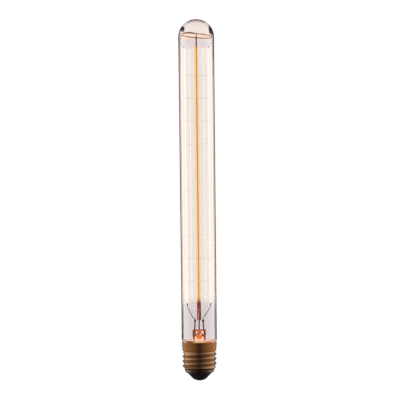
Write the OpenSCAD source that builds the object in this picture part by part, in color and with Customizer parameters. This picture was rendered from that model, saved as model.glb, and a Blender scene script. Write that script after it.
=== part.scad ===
// Tubular squirrel-cage filament lamp on a 27 mm screw cap, upright with the cap at the bottom.
// Millimetres. The origin is the middle of the solder face on the centre contact,
// +Z runs up to the dome and -Y faces the viewer.
// A glass stem in the neck carries the lead posts and the centre post. A glass rod on the post
// holds the wires that carry the filament in six upright runs, open towards the viewer.

/* [Overall] */
// Height from the face of the centre contact to the top of the dome
overall_h = 280; // [240:1:320]

/* [Glass tube] */
// Outside diameter of the tube where the dome starts
tube_top_d = 27.8; // [27.6:0.1:31]
// Outside diameter of the tube where the shoulder starts
tube_base_d = 27.2; // [26.8:0.1:29]
// Thickness of the glass wall
glass_t = 0.9; // [0.6:0.05:1.1]
// Height of the straight tube's lower end above the cap rim
shoulder_gap = 1.8; // [1.7:0.1:3]
// Outside radius of the turn from the tube into the shoulder
shoulder_r = 1.4; // [1.2:0.05:1.6]
// Depth of the glass neck below the cap rim
neck_depth = 14; // [12.5:0.5:14.5]

/* [Screw cap] */
// Outside diameter over the crests of the thread
thread_d = 26.3; // [26.05:0.05:26.45]
// Rise of the thread in one turn, seven turns to the inch
pitch = 3.629; // [3.5:0.001:3.8]
// Radius of the rounded crests and roots
knuckle_r = 1.025; // [1:0.005:1.1]
// Height of the threaded part
thread_len = 13.8; // [13:0.1:15]
// Height of a crest on the viewer's side above the lower end of the threaded part
crest_rise = 3.34; // [3:0.01:4]
// Height of the plain skirt above the thread
skirt_h = 7.2; // [6.8:0.1:9]
// Outside diameter of the skirt above the thread
skirt_d = 26.2; // [26:0.1:26.6]
// Outside diameter of the skirt at its rim
rim_d = 27; // [26.8:0.1:27.2]
// Thickness of the brass sheet
sheet_t = 0.3; // [0.2:0.02:0.34]
// Height of the rounded shoulder below the thread
cap_shoulder_h = 3.1; // [2.8:0.1:3.6]
// Outside diameter at the top of that shoulder
cap_shoulder_d = 23; // [22.6:0.1:23.4]
// Diameter of the hole that the shoulder leaves for the insulator
lip_d = 18.4; // [17.6:0.1:19]

/* [Contact and insulator] */
// Height of the solder on the centre contact
solder_h = 0.5; // [0.3:0.05:0.8]
// Diameter of that solder
solder_d = 6; // [5:0.1:7]
// Thickness of the contact plate
plate_t = 0.5; // [0.3:0.05:0.8]
// Diameter of the contact plate
plate_d = 7.6; // [7.2:0.1:8.2]
// Height of the insulator cone from the plate to the lip of the cap
cone_h = 4.8; // [4:0.1:5.5]
// Diameter of the hole through the insulator and the plate
lead_hole_d = 1.2; // [1:0.1:1.8]
// Thickness of the insulator floor round the hole
insulator_floor = 7.2; // [6.5:0.1:8]
// Diameter of the solder drop on the cap rim
side_solder_d = 2.6; // [2:0.1:3.2]
// Height of that drop over the rim's face
side_solder_h = 0.3; // [0.2:0.05:0.5]
// Height of the ring of cement
cement_h = 5.6; // [4:0.1:6]

/* [Stem] */
// Outside diameter of the stem tube
stem_d = 9.2; // [8.8:0.1:9.8]
// Thickness of the stem tube
stem_t = 0.8; // [0.6:0.05:0.9]
// Height of the press top above the cap rim
press_rise = 9.6; // [9:0.1:14]
// Height of the flat of the press
press_h = 4.6; // [4.2:0.1:6]
// Height over which the round tube turns into the flat press
pinch_h = 4.5; // [4:0.1:6]
// Width of the press
press_w = 10.4; // [10:0.1:11.4]
// Thickness of the press
press_t = 3; // [2.6:0.1:3.6]
// Outside diameter of the exhaust tube
exhaust_d = 4; // [3.6:0.1:4.4]
// Bore of the exhaust tube
exhaust_bore = 2.6; // [2:0.1:2.8]
// Diameter of the hole from the exhaust tube into the bulb
blow_hole_d = 1.2; // [0.8:0.1:1.4]
// Height left between the sealed tip and the insulator
tip_gap = 3.6; // [3:0.1:4]

/* [Centre post and rod] */
// Diameter of the centre post
post_d = 1; // [0.8:0.05:1.1]
// Depth of the post and of the lead posts in the press
post_seat = 3.2; // [2.6:0.1:3.4]
// Diameter of the glass rod on the post
rod_d = 3.1; // [2.9:0.1:3.6]
// Height of the rod's lower end above the press
rod_rise = 7.2; // [6.8:0.1:9]
// Height of the rod's upper end above its top anchors
rod_end = 0.9; // [0.6:0.1:1.4]
// Diameter of the drawn-in tip of the rod
rod_tip_d = 2.3; // [2.2:0.1:2.8]
// Height over which the rod is drawn in to its tip
rod_taper_h = 4; // [2:0.5:8]
// Depth of the wires' seats in the rod
socket_depth = 0.7; // [0.4:0.05:0.8]
// Depth of the top anchors' seats in the tip
tip_socket_depth = 0.35; // [0.3:0.05:0.4]
// Height of the post's end below the top of the dome
post_top_gap = 12.8; // [12:0.1:16]

/* [Centring hoop] */
// Diameter of the hoop wire
hoop_wire_d = 0.6; // [0.4:0.05:0.7]
// Gap between the hoop and the glass
hoop_gap = 0.5; // [0.4:0.1:0.9]
// Part of a full turn that the hoop covers, in degrees
hoop_sweep = 330; // [300:1:345]
// Direction from the post in which the hoop's arm leaves, in degrees
hoop_arm_angle = 205; // [190:1:225]
// Height that the arm first climbs from the post, before it comes back down to the hoop
hoop_arm_rise = 1.6; // [0.8:0.1:2.2]
// Height of the arm's bow over the straight line to the hoop
hoop_arm_bow = 1; // [0:0.1:1.4]
// Fall of the hoop to the right, in degrees
hoop_fall = 5.5; // [0:0.5:6]
// Rise of the hoop towards the viewer, in degrees
hoop_lift = 2.8; // [0:0.1:3.5]

/* [Filament cage] */
// Diameter of the ring of filament runs
cage_d = 19.6; // [18:0.1:21]
// Outside diameter of the coiled filament
filament_d = 0.35; // [0.25:0.01:0.4]
// Angle between neighbouring runs on either side
run_step = 41; // [36:1:46]
// Angle between the two runs at the back
back_gap = 67; // [50:1:76]
// Radius of the turns at the ends of the runs
turn_r = 0.9; // [0.6:0.1:1.1]
// Height of the lower turns above the press
cage_rise = 19.7; // [18:0.1:24]
// Height of the upper turns below the top of the dome
cage_top_gap = 21.4; // [20:0.1:26]

/* [Support wires] */
// Number of support levels
levels = 10; // [8:1:12]
// Height from the highest level to the upper turns
level_top_gap = 22.2; // [18:0.1:26]
// Diameter of the support arms
arm_d = 0.18; // [0.14:0.01:0.19]
// Diameter of the wire in the support loops
loop_wire_d = 0.2; // [0.2:0.01:0.26]
// Diameter of the anchor wires at the ends of the cage
anchor_d = 0.3; // [0.22:0.01:0.34]
// Fall of the anchors from the rod to the cage
anchor_fall = 0.4; // [0.2:0.1:2]
// Length of the anchors' turned tips
anchor_tip = 0.8; // [0.6:0.1:1.2]
// Distance of an anchor from its run, along the turn
anchor_inset = 1.6; // [1.4:0.1:2.4]
// Play between a turn and the anchors' upright tips
anchor_reach = 0.1; // [0.1:0.05:0.3]

/* [Leads] */
// Diameter of the lead posts
lead_post_d = 1; // [0.8:0.05:1.1]
// Distance between the lead posts at the press
lead_post_gap = 7.4; // [7:0.1:7.6]
// Height of the lead posts above the press
lead_post_rise = 7; // [6:0.1:8]
// Distance that each post leans inwards
lead_post_lean = 0.6; // [0.2:0.1:1]
// Outside diameter of the joint on a lead post
joint_d = 1.7; // [1.5:0.1:1.9]
// Height of that joint
joint_h = 2.2; // [1.8:0.1:2.6]
// Diameter of the thin leads to the filament
thin_lead_d = 0.5; // [0.4:0.05:0.6]
// Outside diameter of the clamp on a filament end
clamp_d = 0.9; // [0.8:0.05:1.1]
// Length of that clamp
clamp_h = 1.6; // [1.4:0.1:2.2]
// Diameter of the seal wires in the press
seal_d = 0.6; // [0.5:0.05:0.7]
// Diameter of the leads below the press
outer_lead_d = 0.3; // [0.24:0.02:0.32]
// Diameter of the fuse wire
fuse_d = 0.16; // [0.12:0.01:0.2]
// Length of the fuse wire
fuse_h = 6; // [4:0.1:7]

/* [Hidden] */
$fn = 64;
// Gap between pieces that are fused, cemented or soldered together on the real lamp
fit = 0.05;
// Gap between a turned piece and the sheet of the cap, whose facets cut 0.04 mm into its round
sheet_fit = 0.09;
// Gap between the filament and the wires that hold it
filament_fit = 0.08;

// Heights in the cap, from the contact up
plate_z = solder_h;
cone_z = plate_z + plate_t;
lip_z = cone_z + cone_h;
root_z = lip_z + cap_shoulder_h;
skirt_z = root_z + thread_len;
rim_z = skirt_z + skirt_h;
crest_z = root_z + crest_rise;

// Thread: crests and roots are arcs of knuckle_r that run into each other
thread_depth = 2 * (knuckle_r - sqrt(knuckle_r * knuckle_r - pitch * pitch / 16));
root_r = thread_d / 2 - thread_depth;
// Height over which the thread grows out of the plain sheet at either end
run_out = pitch / 2;
// Half of the height of the step from the thread up to the skirt
skirt_step = 0.6;
sheet_columns = 40;
rows_per_turn = 9;
root_bore_r = root_r - sheet_t;
lip_wall_r = (cap_shoulder_d - lip_d) / 2;

// Glass
neck_r = root_bore_r - outer_lead_d - 2 * sheet_fit;
tube_r = tube_base_d / 2;
dome_r = tube_top_d / 2;
dome_z = overall_h - dome_r;
shoulder_z = rim_z + shoulder_gap;
throat_r = tube_r - neck_r - shoulder_r;
throat_z = shoulder_z - shoulder_r - throat_r;
neck_z = rim_z - neck_depth;
cement_z = throat_z - fit;

// Stem
stem_r = stem_d / 2;
flare_r = neck_r - stem_r;
// The neck stands on the inner slope of the flare
flare_z = neck_z - fit + sqrt(flare_r * flare_r - glass_t * glass_t);
press_z = rim_z + press_rise;
flat_z = press_z - press_h;
pinch_z = flat_z - pinch_h;
pillar_x = (press_w - press_t) / 2;
// Roof of the hollow under the press, this far below its flat
roof_z = flat_z - 1.4;
roof_r = 0.9;
roof_x = lead_post_gap / 2 - 0.5;
post_z = press_z - post_seat;
insulator_top = cone_z + insulator_floor;
tip_z = insulator_top + tip_gap;

// Filament cage
cage_r = cage_d / 2;
runs = 6;
cage_z = press_z + cage_rise;
cage_top = overall_h - cage_top_gap;
hook_drop = filament_d / 2 + anchor_d / 2 + filament_fit;
level_step = (cage_top - level_top_gap - cage_z) / levels;
loop_r = filament_d / 2 + filament_fit + loop_wire_d / 2;
loop_opening = 70;

// Rod and post
rod_z = press_z + rod_rise;
rod_top = cage_top - hook_drop + anchor_fall + rod_end;
seat_r = rod_d / 2 - socket_depth;
post_bore = post_d + 2 * fit;
post_top = overall_h - post_top_gap;
hoop_r = sqrt(pow(dome_r - glass_t, 2) - pow(max(post_top - dome_z, 0), 2)) - hoop_gap - hoop_wire_d / 2;

// Leads
post_x = lead_post_gap / 2;
lane_r = (exhaust_d / 2 + stem_r - stem_t) / 2;
cap_lane_r = root_bore_r - sheet_fit - outer_lead_d / 2;
seal_drop = 0.4;
fuse_top = flare_z - 2;
wire_turn = 0.8;
// Clamps on the filament ends, closed at the bottom
clamp_z = cage_z - clamp_h / 2;
clamp_floor = 0.4;
// Bends of the left thin lead, from the place where it leaves its joint. The right one has none.
left_bends = [[-1.9, -1.2, 1.3], [-3.1, -2.3, 4.1]];

function level_name(k) = str("support_wires_", k < 10 ? "0" : "", k);

// Vectors
function unit(v) = v / norm(v);
function polar(r, a, z) = [r * cos(a), r * sin(a), z];
function clamped(x) = max(0, min(1, x));
function ease(x) = (1 - cos(180 * clamped(x))) / 2;
function square_to(v) = unit(cross(v, abs(v.z) < 0.9 ? [0, 0, 1] : [1, 0, 0]));

// An arc of radius r that rounds the corner b between a and c, in n steps
function corner(a, b, c, r, n) =
    let (u = unit(a - b), w = unit(c - b), open = acos(u * w), turn = 180 - open,
         m = b + unit(u + w) * r / sin(open / 2),
         s = b + u * r / tan(open / 2) - m,
         e = b + w * r / tan(open / 2) - m)
    [for (i = [0:n]) m + (sin((1 - i / n) * turn) * s + sin(i / n * turn) * e) / sin(turn)];

// A route with each of its inner corners rounded
function rounded(p, r, n) = [
    p[0],
    for (i = [1:len(p) - 2]) each corner(p[i - 1], p[i], p[i + 1], r, n),
    p[len(p) - 1]];

function headings(p) = [for (i = [0:len(p) - 1])
    unit((i > 0 ? unit(p[i] - p[i - 1]) : [0, 0, 0])
        + (i < len(p) - 1 ? unit(p[i + 1] - p[i]) : [0, 0, 0]))];

// Directions square to the headings, each turned as little as possible from the one before
function sides_of(t) = [
    for (i = 0, n = square_to(t[0]); i < len(t);
        i = i + 1, n = i < len(t) ? unit(n - (n * t[i]) * t[i]) : n) n];

// Faces of a grid of rows and columns, its columns closed into rings
function ring_faces(rows, cols) = [
    for (j = [0:rows - 2], i = [0:cols - 1])
        let (n = (i + 1) % cols, a = j * cols, b = a + cols)
        each [[a + i, b + i, b + n], [a + i, b + n, a + n]]];

// A round wire of diameter d along a route
module wire(route, d, sides = 8) {
    t = headings(route);
    n = sides_of(t);
    rings = [for (i = [0:len(route) - 1], k = [0:sides - 1])
        let (a = 360 * k / sides)
        route[i] + d / 2 * (cos(a) * n[i] + sin(a) * cross(t[i], n[i]))];
    last = (len(route) - 1) * sides;
    caps = [[for (k = [0:sides - 1]) k], [for (k = [sides - 1:-1:0]) last + k]];
    polyhedron(rings, concat(ring_faces(len(route), sides), caps), convexity = 10);
}

// A straight round bar between two points
module bar(a, b, d) {
    v = b - a;
    translate(a)
        rotate([0, acos(v.z / norm(v)), atan2(v.y, v.x)])
            cylinder(h = norm(v), d = d);
}

// A piece for the left side and its mirror for the right
module on_side(right) {
    mirror([right ? 1 : 0, 0, 0]) children();
}

// A quarter of a ring in the plane of a revolve: (sx, sy) gives the signs of its quadrant
module quarter(r_out, r_in, sx, sy) {
    intersection() {
        difference() {
            circle(r = r_out);
            circle(r = r_in);
        }
        translate([sx < 0 ? -2 * r_out : 0, sy < 0 ? -2 * r_out : 0])
            square(2 * r_out);
    }
}

// Height along the thread from the nearest crest, on a right-hand helix
function from_crest(z, a) =
    let (x = (z - crest_z) / pitch - (a - 270) / 360)
    (x - round(x)) * pitch;

// Radius of the thread at a height w from its crest, on a face s outside the sheet's outer face
function knuckle(w, s) =
    abs(w) <= (knuckle_r + s) * pitch / knuckle_r / 4
        ? thread_d / 2 - knuckle_r + sqrt(pow(knuckle_r + s, 2) - w * w)
        : root_r + knuckle_r - sqrt(pow(knuckle_r - s, 2) - pow(pitch / 2 - abs(w), 2));

// Radius of the sheet without its thread
function plain_r(z) =
    z >= skirt_z + skirt_step
        ? skirt_d / 2 + (rim_d - skirt_d) / 2 * (z - skirt_z - skirt_step) / (skirt_h - skirt_step)
        : cap_shoulder_d / 2
            + (root_r - cap_shoulder_d / 2) * ease((z - root_z) / run_out)
            + (skirt_d / 2 - root_r) * ease((z - skirt_z + skirt_step) / 2 / skirt_step);

function thread_part(z) = ease((z - root_z) / run_out) * ease((skirt_z - z) / run_out);

function sheet_r(z, a, s) =
    plain_r(z) + s + thread_part(z) * (knuckle(from_crest(z, a), s) - root_r - s);

// A point of the rounded shoulder, t degrees up from its lip, on a face s outside the outer face
function cap_shoulder(t, s) = [
    cap_shoulder_d / 2 - lip_wall_r + (lip_wall_r + s) * sin(t),
    root_z - (cap_shoulder_h + s) * cos(t)];

module cap_shell() {
    steps = ceil((thread_len + skirt_step) / pitch * rows_per_turn);
    rise = (thread_len + skirt_step) / steps;
    heights = [for (j = [1:steps]) root_z + j * rise, (skirt_z + rim_z) / 2, rim_z];
    turns = [for (i = [0:sheet_columns - 1]) i * 360 / sheet_columns];
    function rows(s) = [
        for (t = [0:15:90]) [for (a = turns) let (q = cap_shoulder(t, s)) polar(q[0], a, q[1])],
        for (z = heights) [for (a = turns) polar(sheet_r(z, a, s), a, z)]];
    outer = rows(0);
    inner = rows(-sheet_t);
    count = len(outer);
    loop = concat(outer, [for (j = [count - 1:-1:0]) inner[j]], [outer[0]]);
    cells = 2 * count * sheet_columns;
    faces = [for (f = ring_faces(len(loop), sheet_columns)) [for (v = f) v % cells]];
    color("darkgoldenrod")
        polyhedron([for (j = [0:2 * count - 1]) each loop[j]], faces, convexity = 10);
}

module cap_insulator() {
    inside = [for (t = [15:15:90]) cap_shoulder(t, -sheet_t - sheet_fit)];
    last = inside[len(inside) - 1];
    wall = 1.5;
    color([0.07, 0.07, 0.08])
        rotate_extrude()
            polygon(concat(
                [[lead_hole_d / 2, cone_z],
                 [plate_d / 2 + 0.4, cone_z],
                 [plate_d / 2 + 1, cone_z + 0.6],
                 [lip_d / 2 - 1.6, lip_z - 1.2],
                 [lip_d / 2 - sheet_fit - 0.25, lip_z - 0.1],
                 [lip_d / 2 - sheet_fit, lip_z + sheet_t + sheet_fit]],
                inside,
                [[last[0], last[1] + 1.2],
                 [last[0] - wall, last[1] + 1.2],
                 [solder_d / 2, insulator_top],
                 [lead_hole_d / 2, insulator_top]]));
}

module contact_plate() {
    color("goldenrod")
        translate([0, 0, plate_z])
            difference() {
                cylinder(h = plate_t, d = plate_d);
                translate([0, 0, -1]) cylinder(h = plate_t + 2, d = lead_hole_d);
            }
}

module contact_solder() {
    edge = solder_h / 2;
    color("silver")
        difference() {
            union() {
                cylinder(h = edge, d1 = solder_d - 1.4, d2 = solder_d);
                translate([0, 0, edge]) cylinder(h = solder_h - edge, d = solder_d);
                translate([0, 0, edge])
                    cylinder(h = cone_z - edge, d = lead_hole_d - 2 * fit);
            }
            translate([0, 0, edge]) cylinder(h = cone_z, d = outer_lead_d + 2 * fit);
        }
}

// The drop lies on the skirt at the back, over the end of the side lead
module side_solder() {
    foot_r = rim_d / 2 + fit;
    sunk = 0.2;
    z = rim_z - side_solder_d / 2 - fit;
    color("silver")
        difference() {
            translate([0, foot_r - sunk, z])
                rotate([-90, 0, 0])
                    cylinder(h = side_solder_h + sunk, d1 = side_solder_d, d2 = side_solder_d - 1);
            cylinder(h = 2 * rim_z, r = foot_r, $fn = 360);
            bar([0, foot_r + outer_lead_d / 2, z - side_solder_d / 4],
                [0, foot_r + outer_lead_d / 2, rim_z + 1], outer_lead_d + 2 * fit);
        }
}

module basing_cement() {
    low = cement_z - cement_h;
    color([0.85, 0.82, 0.75])
        difference() {
            rotate_extrude()
                polygon([
                    [neck_r + fit, low],
                    [plain_r(low) - sheet_t - sheet_fit, low],
                    [plain_r(cement_z) - sheet_t - sheet_fit, cement_z],
                    [neck_r + fit, cement_z]]);
            translate([0, plain_r(low) - sheet_t - outer_lead_d - 3 * sheet_fit, low - 1])
                translate([-outer_lead_d, 0, 0])
                    cube([2 * outer_lead_d, rim_d / 2, cement_h + 2]);
        }
}

module glass_envelope() {
    color([0.9, 0.88, 0.86, 0.35])
        rotate_extrude() {
            translate([0, dome_z]) quarter(dome_r, dome_r - glass_t, 1, 1);
            polygon([
                [tube_r - glass_t, shoulder_z],
                [tube_r, shoulder_z],
                [dome_r, dome_z],
                [dome_r - glass_t, dome_z]]);
            translate([tube_r - shoulder_r, shoulder_z])
                quarter(shoulder_r, shoulder_r - glass_t, 1, -1);
            translate([neck_r + throat_r, throat_z])
                quarter(throat_r + glass_t, throat_r, -1, 1);
            translate([neck_r - glass_t, neck_z])
                square([glass_t, throat_z - neck_z]);
        }
}

module stem_flare() {
    color([0.9, 0.88, 0.86, 0.5])
        rotate_extrude() {
            translate([neck_r, flare_z]) quarter(flare_r + stem_t, flare_r, -1, -1);
            translate([stem_r - stem_t, flare_z])
                square([stem_t, pinch_z - fit - flare_z]);
        }
}

// Two upright cylinders side by side, the ends of the flat press
module pillars(x, r, h) {
    for (side = [-1, 1])
        translate([side * x, 0, 0]) cylinder(h = h, r = r, $fn = 32);
}

module stem_press() {
    sliver = 0.01;
    edge = 0.5;
    color([0.85, 0.5, 0.3, 0.6])
        difference() {
            union() {
                hull() {
                    translate([0, 0, pinch_z]) cylinder(h = sliver, r = stem_r, $fn = 32);
                    translate([0, 0, flat_z]) pillars(pillar_x, press_t / 2, sliver);
                }
                hull() {
                    translate([0, 0, flat_z]) pillars(pillar_x, press_t / 2, press_h - edge);
                    translate([0, 0, flat_z]) pillars(pillar_x, press_t / 2 - edge, press_h);
                }
            }
            hull() {
                translate([0, 0, pinch_z - 1]) cylinder(h = 1, r = stem_r - stem_t, $fn = 32);
                translate([0, 0, roof_z - sliver]) pillars(roof_x, roof_r, sliver);
            }
            bar([0, 0, pinch_z - 1], [0, 0, roof_z], exhaust_d + 2 * fit);
            bar([0, 0, roof_z - fit], [0, -press_t, roof_z + press_t], blow_hole_d);
            for (side = [-1, 1]) {
                bar(lead_axis(side, -post_seat), lead_axis(side, 1), lead_post_d + 2 * fit);
                bar([side * post_x, 0, roof_z - 1], [side * post_x, 0, post_z + fit], seal_d + 2 * fit);
            }
            bar([0, 0, post_z], [0, 0, press_z + 1], post_bore);
        }
}

module exhaust_tube() {
    r = exhaust_d / 2;
    bore_r = exhaust_bore / 2;
    wall = r - bore_r;
    color([0.9, 0.88, 0.86, 0.5])
        rotate_extrude() {
            translate([bore_r, tip_z + r]) square([wall, roof_z - fit - tip_z - r]);
            translate([0, tip_z + r]) quarter(r, bore_r, 1, -1);
        }
}

module centre_post() {
    color([0.35, 0.28, 0.26])
        bar([0, 0, post_z + fit], [0, 0, post_top - hoop_wire_d / 2 - fit], post_d);
}

function level_z(k) = cage_z + k * level_step;

// Runs 0 to 2 go up the left side and on to the back, runs 3 to 5 come round the right side
function run_angle(i) =
    90 + (i < 3 ? 1 : -1) * (back_gap / 2 + (i < 3 ? 2 - i : i - 3) * run_step);

module centre_rod() {
    edge = 0.5;
    color([0.85, 0.45, 0.15, 0.8])
        difference() {
            union() {
                translate([0, 0, rod_z])
                    cylinder(h = edge, d1 = rod_d - 2 * edge, d2 = rod_d);
                translate([0, 0, rod_z + edge])
                    cylinder(h = rod_top - rod_taper_h - rod_z - edge, d = rod_d);
                translate([0, 0, rod_top - rod_taper_h])
                    cylinder(h = rod_taper_h, d1 = rod_d, d2 = rod_tip_d);
            }
            bar([0, 0, rod_z - 1], [0, 0, rod_top + 1], post_bore);
            for (k = [1:levels], i = [0:runs - 1])
                bar(polar(seat_r - fit, run_angle(i), level_z(k)),
                    polar(rod_d, run_angle(i), level_z(k)), arm_d + 2 * fit);
            for (place = anchor_places(0))
                anchor_seat(place, 1);
            for (place = anchor_places(1))
                anchor_seat(place, -1);
        }
}

// Places [angle of the turn's middle, angle from there, radius] of the anchors, two for each turn
// that joins a run to the next one. The turns at the top start from runs 0, 2 and 4, those at the
// bottom from runs 1 and 3.
function anchor_places(first) = [
    for (i = [first:2:runs - 2], side = [1, -1])
        let (half = (run_angle(i) - run_angle(i + 1)) / 2,
             across = cage_r * sin(half) - anchor_inset,
             out = cage_r * cos(half))
        [run_angle(i) - half, side * atan(across / out), norm([across, out])]];

// Route of the anchor at a place: up is 1 under the upper turns and -1 over the lower ones.
// Its seat in the rod lies far enough round from the next one to leave glass between them.
function anchor_route(place, up) =
    let (in_r = up > 0 ? rod_tip_d / 2 - tip_socket_depth : seat_r,
         apart = asin((anchor_d + 3 * fit) / 2 / in_r),
         seat_a = place[0] + sign(place[1]) * max(abs(place[1]), apart),
         a = place[0] + place[1],
         turn_z = up > 0 ? cage_top - hook_drop : cage_z + hook_drop,
         out_r = place[2] + hook_drop + anchor_reach)
    [polar(in_r, seat_a, turn_z + anchor_fall),
     polar(place[2] - anchor_d, a, turn_z),
     polar(out_r, a, turn_z),
     polar(out_r, a, turn_z + up * anchor_tip)];

module anchor_seat(place, up) {
    route = anchor_route(place, up);
    v = unit(route[1] - route[0]);
    bar(route[0] - fit * v, route[0] + rod_d * v, anchor_d + 2 * fit);
}

module anchors(first, up) {
    color([0.5, 0.42, 0.38])
        for (place = anchor_places(first))
            wire(rounded(anchor_route(place, up), anchor_d, 3), anchor_d, 6);
}

// One level of arms from the rod, each with an open loop round its filament run
module support_wires(k) {
    arm_end = cage_r - loop_r;
    color([0.55, 0.48, 0.42])
        translate([0, 0, level_z(k)])
            for (i = [0:runs - 1])
                rotate(run_angle(i)) {
                    translate([seat_r, 0, 0])
                        rotate([0, 90, 0]) cylinder(h = arm_end - seat_r, d = arm_d);
                    translate([cage_r, 0, 0])
                        rotate(loop_opening - 180)
                            rotate_extrude(angle = 360 - loop_opening)
                                translate([loop_r, 0]) circle(d = loop_wire_d);
                }
}

// The ring of the hoop, tilted as in service, with an arm that climbs from the top of the post
module centring_hoop() {
    foot = [0, 0, -hoop_wire_d / 2];
    peak = [0, 0, hoop_arm_rise];
    peak_r = 0.6;
    bend_r = 1;
    bend_sweep = 12;
    facet = 10;
    turned_in = polar(hoop_r, hoop_arm_angle, 0);
    arm = [for (t = [0.2:0.2:0.8])
        peak + t * (turned_in - peak) + [0, 0, 4 * hoop_arm_bow * t * (1 - t)]];
    color([0.4, 0.32, 0.28])
        translate([0, 0, post_top])
            rotate([-hoop_lift, hoop_fall, 0])
                wire(concat(
                    [foot],
                    corner(foot, peak, arm[0], peak_r, 4),
                    arm,
                    corner(arm[len(arm) - 1], turned_in,
                        polar(hoop_r, hoop_arm_angle + bend_sweep, 0), bend_r, 4),
                    [for (a = [2 * facet:facet:hoop_sweep]) polar(hoop_r, hoop_arm_angle + a, 0)]),
                    hoop_wire_d, 8);
}

module filament() {
    // Corners of the zigzag: run i stands between heights that swap from turn to turn
    tips = [for (i = [0:runs - 1])
        let (up = i % 2 == 0, a = run_angle(i),
             low = i == 0 || i == runs - 1 ? clamp_z + clamp_floor + fit : cage_z)
        each [polar(cage_r, a, up ? low : cage_top), polar(cage_r, a, up ? cage_top : low)]];
    color([1, 0.75, 0.35])
        wire(rounded(tips, turn_r, 5), filament_d, 6);
}

// A point on the axis of a lead post, h above the press top
function lead_axis(side, h) = [
    side * (post_x - lead_post_lean * (h + post_seat) / (lead_post_rise + post_seat)),
    0,
    press_z + h];

module lead_post() {
    color([0.42, 0.34, 0.36])
        bar(lead_axis(-1, fit - post_seat), lead_axis(-1, lead_post_rise), lead_post_d);
}

module lead_joint() {
    low = lead_axis(-1, lead_post_rise - joint_h * 0.65);
    high = lead_axis(-1, lead_post_rise + joint_h * 0.35);
    color([0.25, 0.2, 0.2])
        difference() {
            bar(low, high, joint_d);
            bar(lead_axis(-1, lead_post_rise - joint_h), lead_axis(-1, lead_post_rise + fit),
                lead_post_d + 2 * fit);
            bar(lead_axis(-1, lead_post_rise), lead_axis(-1, lead_post_rise + joint_h),
                thin_lead_d + 2 * fit);
        }
}

module lead_wire(side, run, bends) {
    joint_top = lead_axis(side, lead_post_rise + joint_h / 2);
    clamp = polar(cage_r, run_angle(run), clamp_z);
    bore_d = filament_d + 2 * fit;
    route = concat(
        [lead_axis(side, lead_post_rise + 2 * fit), joint_top],
        [for (p = bends) joint_top + p],
        [clamp - [0, 0, 1], clamp + [0, 0, clamp_floor / 2]]);
    color([0.6, 0.56, 0.54]) {
        wire(rounded(route, thin_lead_d, 3), thin_lead_d, 8);
        difference() {
            translate(clamp) cylinder(h = clamp_h, d = clamp_d);
            translate(clamp + [0, 0, clamp_floor]) cylinder(h = clamp_h, d = bore_d);
        }
    }
}

module seal_wire() {
    color("peru")
        bar([-post_x, 0, roof_z - seal_drop], [-post_x, 0, post_z], seal_d);
}

// The side lead runs down the stem, round the foot of the neck and up to the cap rim at the back
module outer_lead_side() {
    in_r = plain_r(rim_z) - sheet_t - sheet_fit - outer_lead_d / 2;
    low_in_r = plain_r(cement_z - cement_h) - sheet_t - sheet_fit - outer_lead_d / 2;
    over_z = rim_z + fit + outer_lead_d / 2;
    out_r = rim_d / 2 + fit + outer_lead_d / 2;
    under_z = neck_z - stem_t - 2.4;
    color("tan")
        wire(rounded([
            [-post_x, 0, roof_z - seal_drop - fit],
            [-post_x, 0, roof_z - seal_drop - 0.6],
            [-lane_r, 0, pinch_z],
            [-lane_r, 0, flare_z - 1],
            [-lane_r / 2, neck_r / 2, under_z],
            [0, cap_lane_r, under_z],
            [0, cap_lane_r, skirt_z - 0.8],
            [0, low_in_r, skirt_z + skirt_step + 0.6],
            [0, in_r, over_z],
            [0, out_r, over_z],
            [0, out_r, rim_z - side_solder_d * 0.7]], outer_lead_d * 0.6, 3),
            outer_lead_d, 6);
}

module outer_lead_centre() {
    color("tan")
        wire(rounded([
            [post_x, 0, roof_z - seal_drop - fit],
            [post_x, 0, roof_z - seal_drop - 0.6],
            [lane_r, 0, pinch_z],
            [lane_r, 0, fuse_top]], 0.25, 3), outer_lead_d, 6);
}

module fuse_wire() {
    color("lightgrey")
        bar([lane_r, 0, fuse_top - fuse_h], [lane_r, 0, fuse_top], fuse_d);
}

module contact_lead() {
    color("tan")
        wire(rounded([
            [lane_r, 0, fuse_top - fuse_h],
            [lane_r, 0, tip_z - 0.4],
            [0, 0, tip_z - 2],
            [0, 0, solder_h / 2 + fit]], wire_turn, 3), outer_lead_d, 6);
}

cap_shell();
cap_insulator();
contact_plate();
contact_solder();
side_solder();
basing_cement();
glass_envelope();
stem_flare();
stem_press();
exhaust_tube();
centre_post();
centre_rod();
centring_hoop();
anchors(0, 1);  // top_anchors
for (k = [1:levels])
    support_wires(k);
anchors(1, -1);  // bottom_anchors
filament();
lead_post();  // lead_post_left
on_side(true) lead_post();  // lead_post_right
lead_joint();  // lead_joint_left
on_side(true) lead_joint();  // lead_joint_right
lead_wire(-1, 0, left_bends);  // lead_wire_left
lead_wire(1, runs - 1, []);  // lead_wire_right
seal_wire();  // seal_wire_left
on_side(true) seal_wire();  // seal_wire_right
outer_lead_side();
outer_lead_centre();
fuse_wire();
contact_lead();
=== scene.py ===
import math

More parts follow.
